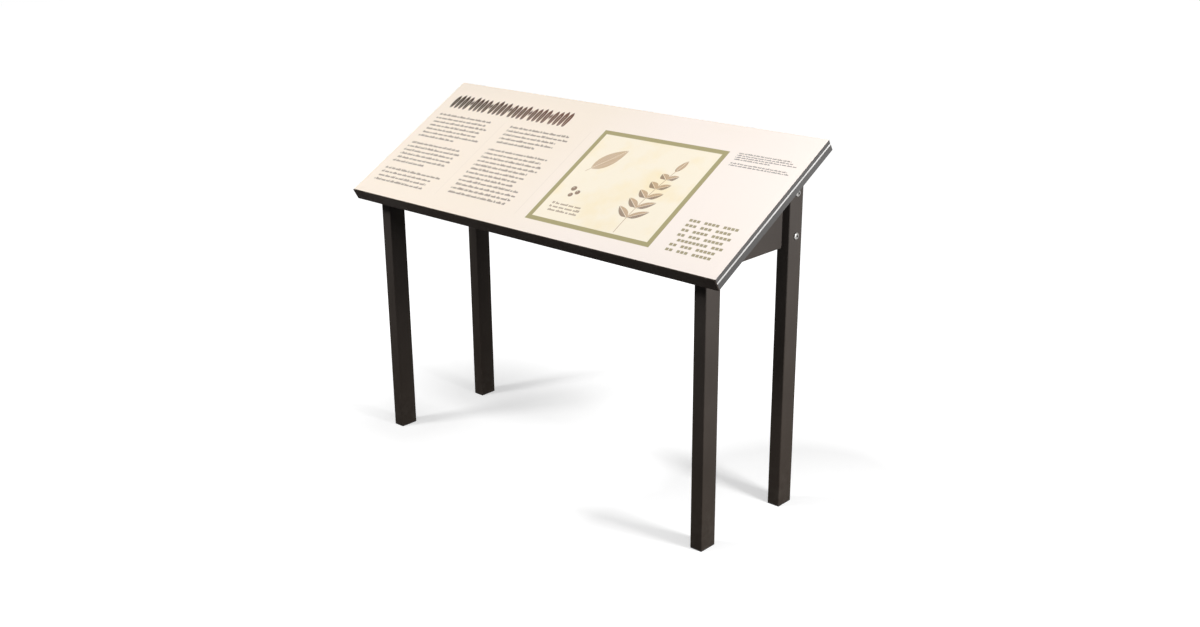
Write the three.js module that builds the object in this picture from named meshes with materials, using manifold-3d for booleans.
// Park interpretation sign: a printed laminate panel on a tilted tube deck, carried by two folded
// side brackets and four rectangular tube legs with foot plugs.
// Millimetres. +X is the reader's right, +Y points away from the reader and +Z is up.
// The origin is on the floor, under the middle of the whole sign.
import * as THREE from 'three';
import { mergeVertices } from 'three/addons/utils/BufferGeometryUtils.js';
import Module from 'manifold-3d';

const wasm = await Module();
wasm.setup();

// Driving dimensions of the deck
const deckWidth = 1450;
const deckDepth = 558;
const deckTilt = THREE.MathUtils.degToRad(30);
const frontEdgeHeight = 805;
const faceThickness = 0.8;
const coreThickness = 11.6;
const backingThickness = 4.8;
const panelCorner = 2;
const panelArris = 0.25;
const lipThickness = 3.2;
const lipArris = 0.6;
const railDepth = 19;
const railWidth = 38;
const railWall = 2.5;
const railCorner = 1.6;

// Driving dimensions of the legs
const legWidth = 40;
const legDepth = 60;
const legWall = 3;
const legCorner = 3;
const sideOverhang = 69;
const frontOverhang = 56;
const backOverhang = 25.8;

// Driving dimensions of the foot plugs
const plugFlange = 3;
const plugArris = 0.6;
const plugReach = 24;
const plugWall = 2.5;
const finDepth = 1.6;
const finThickness = 1.6;
const finPitch = 8;
const finCount = 2;

// Driving dimensions of the side brackets
const bracketThickness = 4.8;
const bracketOffset = 4.6;
const bendRadius = 3;
const reliefWidth = 4;
const tongueHeight = 31;
const flangeLegGap = 4;
const flangeCorner = 6;
const flangeScrewShares = [0.11, 0.5, 0.89];

// Driving dimensions of the leg fixings
const boltDiameter = 10;
const boltHeadDiameter = 20;
const boltHeadHeight = 5.6;
const boltSocket = 6;
const boltSocketDepth = 3.4;
const frontBoltRise = 14;
const backBoltRise = 32.5;
const backBoltDrop = 86;
const sleeveDiameter = 17;
const nutShankDiameter = 12.6;
const nutBodyDiameter = 16;
const nutFlangeDiameter = 20;
const nutFlangeShare = 0.27;
const nutRoom = 1.4;

// Driving dimensions of the panel fixings
const screwDiameter = 6;
const screwHeadDiameter = 11;
const screwHeadHeight = 3.3;
const screwSocket = 4;
const screwSocketDepth = 2;
const insertDiameter = 10;
const insertCollar = 2;
const insertGroove = 0.8;
const insertRoom = 1;
const insertRoof = 1.6;

// Clearances: what is laid or bolted together keeps the seat gap, a shank in a hole the hole gap
const seatGap = 0.3;
const holeGap = 0.3;
const slotGap = 0.5;
const overrun = 5;

// Proportions of bolt heads, shank ends and the insides of tube corners
const headRimShare = 0.25;
const headCrownShare = 0.75;
const shankChamferShare = 0.25;
const innerCornerShare = 0.35;

// Facets
const cornerSteps = 2;
const boltSteps = 12;
const screwSteps = 8;
const domeSteps = 3;
const bendSteps = 4;

// Layers of the deck, measured down from the printed face
const coreTop = faceThickness + seatGap;
const coreBottom = coreTop + coreThickness;
const backingTop = coreBottom + seatGap;
const railTop = backingTop + backingThickness + seatGap;
const deckThickness = railTop + railDepth;
const bracketTop = deckThickness + seatGap;
const bendOuter = bracketThickness + bendRadius;
const insertLength = coreThickness - insertRoof - insertRoom;

// Places along the slope, measured up from the front edge
const railFront = lipThickness + seatGap;
const frontRailMiddle = railFront + railWidth / 2;
const backRailMiddle = deckDepth - railWidth / 2;

// Places on the floor plan
const tiltSine = Math.sin(deckTilt);
const tiltCosine = Math.cos(deckTilt);
const overallDepth = deckDepth * tiltCosine + deckThickness * tiltSine;
const frontEdge = -overallDepth / 2;
const legOuter = deckWidth / 2 - sideOverhang;
const legMiddle = legOuter - legWidth / 2;
const frontLegMiddle = frontEdge + frontOverhang + legDepth / 2;
const backLegMiddle = overallDepth / 2 - backOverhang - legDepth / 2;
const bracketInset = legWidth / 2 + bracketOffset;
const bracketOuterFace = legOuter - bracketInset;
const bracketMiddle = bracketOuterFace - bracketThickness / 2;
const flangeScrewPlace = (bracketOuterFace + bendRadius + legOuter) / 2;

// Height of the deck's underside, or of a layer below it, over a place on the floor plan
function undersideHeight(y, drop = 0) {
  const level = deckThickness + drop;
  const edge = frontEdgeHeight - level * tiltCosine;
  return edge + (y - frontEdge - level * tiltSine) * Math.tan(deckTilt);
}

// Distance up the slope of a place on the floor plan, on a layer below the printed face
function slopePlace(y, level) {
  return (y - frontEdge - level * tiltSine) / tiltCosine;
}

const bracketBottom = undersideHeight(frontLegMiddle) - tongueHeight;
const frontBolt = bracketBottom + frontBoltRise;
const lowerBackBolt = bracketBottom + backBoltRise;
const upperBackBolt = undersideHeight(backLegMiddle) - backBoltDrop;
const flangeStart = slopePlace(frontLegMiddle + legDepth / 2 + flangeLegGap, bracketTop);
const flangeEnd = slopePlace(backLegMiddle - legDepth / 2 - flangeLegGap, bracketTop + bendOuter);

// Each leg: its side and row, the face that the bracket enters, and the heights of its bolts
const frontLeg = { middle: frontLegMiddle, slotSide: 1, bolts: [frontBolt] };
const backLeg = { middle: backLegMiddle, slotSide: -1, bolts: [lowerBackBolt, upperBackBolt] };
const legs = [
  { name: 'front_left', side: -1, ...frontLeg },
  { name: 'front_right', side: 1, ...frontLeg },
  { name: 'back_left', side: -1, ...backLeg },
  { name: 'back_right', side: 1, ...backLeg },
];

// Each panel screw: its place on the deck and the level that its head seats under.
// The rail screws stand midway between the side bearers and the centre one
const flangeScrews = [-1, 1].flatMap((side) => flangeScrewShares.map((share) => ({
  x: side * flangeScrewPlace,
  y: flangeStart + (flangeEnd - flangeStart) * share,
  seat: bracketTop + bracketThickness + seatGap,
})));
const railScrews = [-1, 1].flatMap((side) => [frontRailMiddle, backRailMiddle].map((y) => ({
  x: side * legMiddle / 2,
  y,
  seat: deckThickness + seatGap,
})));
const panelScrews = [...flangeScrews, ...railScrews];

// Materials
function material(color, roughness, metalness) {
  return new THREE.MeshStandardMaterial({ color, roughness, metalness });
}
const printedFace = () => material(0xfaf0e4, 0.45, 0);
const blackCore = () => material(0x4a4644, 0.6, 0);
const whiteSheet = () => material(0xf4f3f1, 0.5, 0);
const bronzeCoat = () => material(0x3a3632, 0.5, 0.2);
const stainless = () => material(0xc4c4c2, 0.3, 0.95);
const zincSteel = () => material(0xa9a8a2, 0.4, 0.9);
const brassInsert = () => material(0xb59a5a, 0.4, 0.9);
const blackPlastic = () => material(0x1d1c1b, 0.7, 0);

// Solids for cutting and joining
function toSolid(geometry) {
  const bare = geometry.clone();
  bare.deleteAttribute('normal');
  bare.deleteAttribute('uv');
  const merged = mergeVertices(bare);
  const triangles = [];
  for (let i = 0; i < merged.index.count; i += 3) {
    const corners = [0, 1, 2].map((k) => merged.index.getX(i + k));
    if (new Set(corners).size === 3) triangles.push(...corners);
  }
  return new wasm.Manifold(new wasm.Mesh({
    numProp: 3,
    vertProperties: merged.attributes.position.array,
    triVerts: new Uint32Array(triangles),
  }));
}

function toGeometry(solid) {
  const { vertProperties, triVerts } = solid.getMesh();
  const geometry = new THREE.BufferGeometry();
  geometry.setAttribute('position', new THREE.BufferAttribute(vertProperties, 3));
  geometry.setIndex(new THREE.BufferAttribute(triVerts, 1));
  const faceted = geometry.toNonIndexed();
  faceted.computeVertexNormals();
  return faceted;
}

function cut(geometry, tools) {
  return toGeometry(tools.reduce((solid, tool) => solid.subtract(toSolid(tool)), toSolid(geometry)));
}

function join(geometries) {
  return toGeometry(geometries.map(toSolid).reduce((all, next) => all.add(next)));
}

function common(first, second) {
  return toGeometry(toSolid(first).intersect(toSolid(second)));
}

// Outlines and extrusions
function roundedRectangle(Kind, width, height, radius) {
  const right = width / 2 - radius;
  const top = height / 2 - radius;
  const outline = new Kind();
  outline.absarc(right, top, radius, 0, Math.PI / 2);
  outline.absarc(-right, top, radius, Math.PI / 2, Math.PI);
  outline.absarc(-right, -top, radius, Math.PI, Math.PI * 1.5);
  outline.absarc(right, -top, radius, Math.PI * 1.5, Math.PI * 2);
  outline.closePath();
  return outline;
}

function tubeSection(width, height, wall, corner) {
  const section = roundedRectangle(THREE.Shape, width, height, corner);
  const innerCorner = Math.max(corner - wall, corner * innerCornerShare);
  section.holes.push(roundedRectangle(THREE.Path, width - 2 * wall, height - 2 * wall, innerCorner));
  return section;
}

function polygon(points) {
  return new THREE.Shape(points.map(([x, y]) => new THREE.Vector2(x, y)));
}

function extrude(shape, depth) {
  return new THREE.ExtrudeGeometry(shape, { depth, bevelEnabled: false, curveSegments: cornerSteps });
}

// A slab between two heights, whose rim is eased by the arris
function easedSlab(shape, thickness, arris) {
  const slab = new THREE.ExtrudeGeometry(shape, {
    depth: thickness - 2 * arris,
    bevelThickness: arris,
    bevelSize: arris,
    bevelOffset: -arris,
    bevelSegments: 1,
    curveSegments: cornerSteps,
  });
  return slab.translate(0, 0, arris);
}

// A section in Y and Z, drawn out along X about the middle
function alongX(shape, length) {
  const turn = new THREE.Matrix4().makeBasis(
    new THREE.Vector3(0, 1, 0),
    new THREE.Vector3(0, 0, 1),
    new THREE.Vector3(1, 0, 0),
  );
  return extrude(shape, length).translate(0, 0, -length / 2).applyMatrix4(turn);
}

// A section in X and Z, drawn out along Y from start to end
function alongY(shape, start, end) {
  const turn = new THREE.Matrix4().makeBasis(
    new THREE.Vector3(1, 0, 0),
    new THREE.Vector3(0, 0, 1),
    new THREE.Vector3(0, -1, 0),
  );
  return extrude(shape, end - start).applyMatrix4(turn).translate(0, end, 0);
}

// A prism along Z between two heights, whose flats lie at the diameter: a hole clears a shank in it
function hole(diameter, bottom, top, steps) {
  const radius = diameter / 2 / Math.cos(Math.PI / steps);
  const prism = new THREE.CylinderGeometry(radius, radius, top - bottom, steps);
  return prism.rotateX(Math.PI / 2).translate(0, 0, (bottom + top) / 2);
}

// A profile of radius and height, turned about Z
function turned(points, steps) {
  const profile = points.map(([radius, height]) => new THREE.Vector2(radius, height));
  return new THREE.LatheGeometry(profile, steps).rotateX(Math.PI / 2);
}

// A ring with a bore: the outside is given from its bottom to its top
function turnedRing(boreDiameter, outside, steps) {
  const bore = boreDiameter / 2 / Math.cos(Math.PI / steps);
  const bottom = outside[0][1];
  const top = outside[outside.length - 1][1];
  return turned([[bore, bottom], ...outside, [bore, top], [bore, bottom]], steps);
}

// A button head bolt: the head stands on the seat at zero height and the shank hangs below it
function buttonBolt({ diameter, headDiameter, headHeight, socket, socketDepth, length, steps }) {
  const radius = diameter / 2;
  const rim = headHeight * headRimShare;
  const crown = socket * headCrownShare;
  const chamfer = radius * shankChamferShare;
  const dome = [];
  for (let step = 0; step <= domeSteps; step += 1) {
    const angle = (step / domeSteps) * (Math.PI / 2);
    const reach = crown + (headDiameter / 2 - crown) * Math.cos(angle);
    dome.push([reach, rim + (headHeight - rim) * Math.sin(angle)]);
  }
  const body = turned([
    [0, -length],
    [radius - chamfer, -length],
    [radius, chamfer - length],
    [radius, 0],
    [headDiameter / 2, 0],
    ...dome,
    [0, headHeight],
  ], steps);
  return cut(body, [hole(socket, headHeight - socketDepth, headHeight + overrun, 6)]);
}

// Panel screw holes through a deck piece, between two levels below the face
function screwHoles(diameter, upperLevel, lowerLevel) {
  return panelScrews.map(({ x, y }) => {
    const through = hole(diameter, -lowerLevel, -upperLevel, screwSteps);
    return through.translate(x, y, 0);
  });
}

function piece(name, geometry, finish) {
  const mesh = new THREE.Mesh(geometry, finish());
  mesh.name = name;
  return mesh;
}

// The printed panel: a thin printed face on a black laminate core, over a white backing sheet
function panelSheet(thickness, topLevel) {
  const depth = deckDepth - railFront;
  const outline = roundedRectangle(THREE.Shape, deckWidth, depth, panelCorner);
  const sheet = easedSlab(outline, thickness, panelArris);
  return sheet.translate(0, railFront + depth / 2, -topLevel - thickness);
}

function makePanel() {
  const pockets = screwHoles(insertDiameter + 2 * holeGap, coreTop + insertRoof, coreBottom + overrun);
  const passages = screwHoles(screwDiameter + 2 * holeGap, coreBottom, railTop);
  return [
    piece('graphic_face', panelSheet(faceThickness, 0), printedFace),
    piece('panel_core', cut(panelSheet(coreThickness, coreTop), pockets), blackCore),
    piece('backing_sheet', cut(panelSheet(backingThickness, backingTop), passages), whiteSheet),
  ];
}

// The deck frame: mitred perimeter rails and three bearers of one tube, with a full height front lip
function railTube(width = railWidth) {
  return tubeSection(width, railDepth, railWall, railCorner);
}

function crossRail(middle) {
  return alongX(railTube(), deckWidth).translate(0, middle, -railTop - railDepth / 2);
}

function slopeRail(x, start, end) {
  return alongY(railTube(), start, end).translate(x, 0, -railTop - railDepth / 2);
}

// Plan of a rail whose ends are mitred inwards, as a block as deep as the deck
function mitreBlock(points) {
  return extrude(polygon(points), deckThickness + 2 * overrun).translate(0, 0, -deckThickness - overrun);
}

function makeDeckFrame() {
  const half = deckWidth / 2;
  const mitreGap = seatGap * Math.SQRT2;
  const inner = half - railWidth;
  const railHoles = screwHoles(screwDiameter + 2 * holeGap, railTop - overrun, deckThickness + overrun);
  const rails = [
    { name: 'front_rail', middle: frontRailMiddle, outer: railFront, into: 1 },
    { name: 'back_rail', middle: backRailMiddle, outer: deckDepth, into: -1 },
  ].map(({ name, middle, outer, into }) => {
    const block = mitreBlock([
      [-half, outer],
      [half, outer],
      [inner, outer + into * railWidth],
      [-inner, outer + into * railWidth],
    ]);
    return piece(name, cut(common(crossRail(middle), block), railHoles), bronzeCoat);
  });
  const ends = [['left_rail', -1], ['right_rail', 1]].map(([name, side]) => {
    const block = mitreBlock([
      [side * half, railFront + mitreGap],
      [side * half, deckDepth - mitreGap],
      [side * inner, deckDepth - railWidth - mitreGap],
      [side * inner, railFront + railWidth + mitreGap],
    ]);
    const rail = slopeRail(side * (half - railWidth / 2), railFront, deckDepth);
    return piece(name, common(rail, block), bronzeCoat);
  });
  const bearerStart = railFront + railWidth + seatGap;
  const bearerEnd = deckDepth - railWidth - seatGap;
  const bearers = [
    ['left_bearer', -1],
    ['centre_bearer', 0],
    ['right_bearer', 1],
  ].map(([name, side]) => {
    const bearer = slopeRail(side * legMiddle, bearerStart, bearerEnd);
    return piece(name, cut(bearer, side ? railHoles : []), bronzeCoat);
  });
  const lipSection = roundedRectangle(THREE.Shape, lipThickness, deckThickness, lipArris);
  const lip = alongX(lipSection, deckWidth).translate(0, lipThickness / 2, -deckThickness / 2);
  return [...rails, ...ends, ...bearers, piece('front_lip', lip, bronzeCoat)];
}

// Places a geometry made in the deck's own frame into the sign's frame
const deckPlace = new THREE.Matrix4()
  .makeTranslation(0, frontEdge, frontEdgeHeight)
  .multiply(new THREE.Matrix4().makeRotationX(deckTilt));

// A side bracket: an upright plate with a tongue in each leg, folded over into a flange under the bearer
function bracketPlate() {
  const reach = legDepth / 2 - legWall - seatGap;
  const front = frontLegMiddle - reach;
  const back = backLegMiddle + reach;
  const plate = alongX(polygon([
    [front, bracketBottom],
    [back, bracketBottom],
    [back, undersideHeight(back, seatGap)],
    [front, undersideHeight(front, seatGap)],
  ]), bracketThickness);
  const fold = bracketTop + bendOuter;
  const foldHeight = bendOuter + overrun;
  const foldLength = flangeEnd - flangeStart + 2 * reliefWidth;
  const foldRoom = new THREE.BoxGeometry(bracketThickness + 2 * overrun, foldLength, foldHeight)
    .translate(0, (flangeStart + flangeEnd) / 2, foldHeight / 2 - fold);
  const reliefs = [flangeStart - reliefWidth / 2, flangeEnd + reliefWidth / 2].map((place) => {
    const relief = hole(reliefWidth, -bracketThickness, bracketThickness, screwSteps);
    return relief.rotateY(Math.PI / 2).translate(0, place, -fold);
  });
  return cut(plate, [foldRoom, ...reliefs].map((tool) => tool.applyMatrix4(deckPlace)));
}

function bracketFlange(side) {
  const inner = -bracketThickness / 2;
  const centre = inner + bendOuter;
  const tip = legOuter - bracketMiddle;
  const fold = -bracketTop - bendOuter;
  const arc = (radius) => Array.from({ length: bendSteps + 1 }, (unused, step) => {
    const angle = (step / bendSteps) * (Math.PI / 2);
    return [centre - radius * Math.cos(angle), fold + radius * Math.sin(angle)];
  });
  const section = [
    [inner, fold - bendOuter],
    ...arc(bendOuter),
    [tip, -bracketTop],
    [tip, -bracketTop - bracketThickness],
    ...arc(bendRadius).reverse(),
    [inner + bracketThickness, fold - bendOuter],
  ].map(([x, z]) => [side * x, z]);
  const middle = (flangeStart + flangeEnd) / 2;
  const plan = roundedRectangle(THREE.Shape, 2 * tip, flangeEnd - flangeStart, flangeCorner);
  const block = extrude(plan, deckThickness + 2 * overrun + 2 * bendOuter)
    .translate(0, middle, -bracketTop - 2 * bendOuter - overrun);
  return common(alongY(polygon(section), flangeStart, flangeEnd), block);
}

function makeBracket(side) {
  const flange = bracketFlange(side).applyMatrix4(deckPlace);
  const boltPlaces = [frontLeg, backLeg].flatMap(({ middle, bolts }) => (
    bolts.map((height) => [middle, height])));
  const nutHoles = boltPlaces.map(([middle, height]) => {
    const nutHole = hole(nutShankDiameter + 2 * holeGap, -bracketThickness, bracketThickness, boltSteps);
    return nutHole.rotateY(Math.PI / 2).translate(0, middle, height);
  });
  const flangeBottom = bracketTop + bracketThickness;
  const flangeHoles = screwHoles(screwDiameter + 2 * holeGap, deckThickness, flangeBottom + overrun)
    .map((tool) => tool.applyMatrix4(deckPlace).translate(-side * bracketMiddle, 0, 0));
  const bracket = cut(join([bracketPlate(), flange]), [...nutHoles, ...flangeHoles]);
  const mesh = piece(side < 0 ? 'left_bracket' : 'right_bracket', bracket, bronzeCoat);
  mesh.position.x = side * bracketMiddle;
  return mesh;
}

// A leg: a tube whose top is cut to the deck's slope, slotted for the bracket and drilled for its bolts
function makeLeg({ name, side, middle, slotSide, bolts }) {
  const foot = plugFlange + seatGap;
  const top = undersideHeight(middle + legDepth / 2);
  const section = tubeSection(legWidth, legDepth, legWall, legCorner);
  const tube = extrude(section, top - foot).translate(0, 0, foot);
  const sky = new THREE.BoxGeometry(deckWidth, 2 * deckDepth, top)
    .translate(0, deckDepth / 2, top / 2 - bracketTop)
    .applyMatrix4(deckPlace)
    .translate(0, -middle, 0);
  const slotBottom = bracketBottom - slotGap;
  const slotTop = top + overrun;
  const slotX = side * (bracketMiddle - legMiddle);
  const slotY = slotSide * (legDepth - legWall) / 2;
  const slotWidth = bracketThickness + 2 * slotGap;
  const slot = new THREE.BoxGeometry(slotWidth, legWall + 2 * overrun, slotTop - slotBottom)
    .translate(slotX, slotY, (slotBottom + slotTop) / 2);
  const holes = bolts.map((height) => {
    const boltHole = hole(boltDiameter + 2 * holeGap, -legWall - overrun, overrun, boltSteps);
    return boltHole.rotateY(side * Math.PI / 2).translate(side * legWidth / 2, 0, height);
  });
  const mesh = piece(`leg_${name}`, cut(tube, [sky, slot, ...holes]), bronzeCoat);
  mesh.position.set(side * legMiddle, middle, 0);
  return mesh;
}

// A foot plug: a flange under the leg, and a hollow finned spigot inside it
function makeFootPlug({ name, side, middle }) {
  const boreWidth = legWidth - 2 * legWall;
  const boreDepth = legDepth - 2 * legWall;
  const outline = roundedRectangle(THREE.Shape, legWidth, legDepth, legCorner);
  const flange = easedSlab(outline, plugFlange, plugArris);
  const ring = (inset, bottom, height) => {
    const outer = inset + seatGap;
    const wall = plugWall + finDepth - inset;
    const section = tubeSection(boreWidth - 2 * outer, boreDepth - 2 * outer, wall, legCorner);
    return extrude(section, height).translate(0, 0, bottom);
  };
  const seat = plugFlange - plugArris;
  const fins = Array.from({ length: finCount }, (unused, index) => (
    ring(0, plugFlange + (index + 1) * finPitch, finThickness)));
  const plug = join([flange, ring(finDepth, seat, plugReach + plugArris), ...fins]);
  const mesh = piece(`foot_plug_${name}`, plug, blackPlastic);
  mesh.position.set(side * legMiddle, middle, 0);
  return mesh;
}

// The stack at each leg bolt, outwards along the bolt: press nut, bracket, sleeve, leg wall and head
function makeLegFixings({ name, side, middle, bolts }) {
  const bore = boltDiameter + 2 * holeGap;
  const nutSeat = bracketInset + bracketThickness + seatGap;
  const nutLength = legWidth - legWall - nutSeat - nutRoom;
  const nutFlange = nutLength * nutFlangeShare;
  return bolts.map((height, index) => {
    const label = bolts.length > 1 ? `${name}_${['lower', 'upper'][index]}` : name;
    const stack = new THREE.Group();
    stack.position.set(side * legOuter, middle, height);
    stack.rotation.y = side * Math.PI / 2;
    const bolt = buttonBolt({
      diameter: boltDiameter,
      headDiameter: boltHeadDiameter,
      headHeight: boltHeadHeight,
      socket: boltSocket,
      socketDepth: boltSocketDepth,
      length: nutSeat + nutLength,
      steps: boltSteps,
    });
    const sleeve = turnedRing(bore, [
      [sleeveDiameter / 2, seatGap - bracketInset],
      [sleeveDiameter / 2, -legWall - seatGap],
    ], boltSteps);
    const nut = turnedRing(bore, [
      [nutBodyDiameter / 2, -nutSeat - nutLength],
      [nutBodyDiameter / 2, -nutSeat - nutFlange],
      [nutFlangeDiameter / 2, -nutSeat - nutFlange],
      [nutFlangeDiameter / 2, -nutSeat],
      [nutShankDiameter / 2, -nutSeat],
      [nutShankDiameter / 2, -bracketInset - seatGap],
    ], boltSteps);
    const boltMesh = piece(`leg_bolt_${label}`, bolt, stainless);
    boltMesh.position.z = seatGap;
    stack.add(boltMesh);
    stack.add(piece(`leg_sleeve_${label}`, sleeve, zincSteel));
    stack.add(piece(`leg_nut_${label}`, nut, zincSteel));
    return stack;
  });
}

// A panel screw from below and the waisted brass insert that it draws into
function makePanelFixing({ x, y, seat }, index) {
  const tip = coreBottom - insertLength + insertRoom;
  const screw = buttonBolt({
    diameter: screwDiameter,
    headDiameter: screwHeadDiameter,
    headHeight: screwHeadHeight,
    socket: screwSocket,
    socketDepth: screwSocketDepth,
    length: seat - tip,
    steps: screwSteps,
  });
  const screwMesh = piece(`panel_screw_${index + 1}`, screw, stainless);
  screwMesh.position.set(x, y, -seat);
  screwMesh.rotation.x = Math.PI;
  const waist = insertDiameter / 2 - insertGroove;
  const insert = turnedRing(screwDiameter + 2 * holeGap, [
    [insertDiameter / 2, 0],
    [insertDiameter / 2, insertCollar],
    [waist, insertCollar],
    [waist, insertLength - insertCollar],
    [insertDiameter / 2, insertLength - insertCollar],
    [insertDiameter / 2, insertLength],
  ], screwSteps);
  const insertMesh = piece(`panel_insert_${index + 1}`, insert, brassInsert);
  insertMesh.position.set(x, y, -coreBottom);
  return [screwMesh, insertMesh];
}

// The whole sign
const deck = new THREE.Group();
deck.position.set(0, frontEdge, frontEdgeHeight);
deck.rotation.x = deckTilt;
deck.add(...makePanel(), ...makeDeckFrame(), ...panelScrews.flatMap(makePanelFixing));

const sign = new THREE.Group();
sign.add(deck, makeBracket(-1), makeBracket(1));
sign.add(...legs.map(makeLeg), ...legs.map(makeFootPlug), ...legs.flatMap(makeLegFixings));

export default sign;
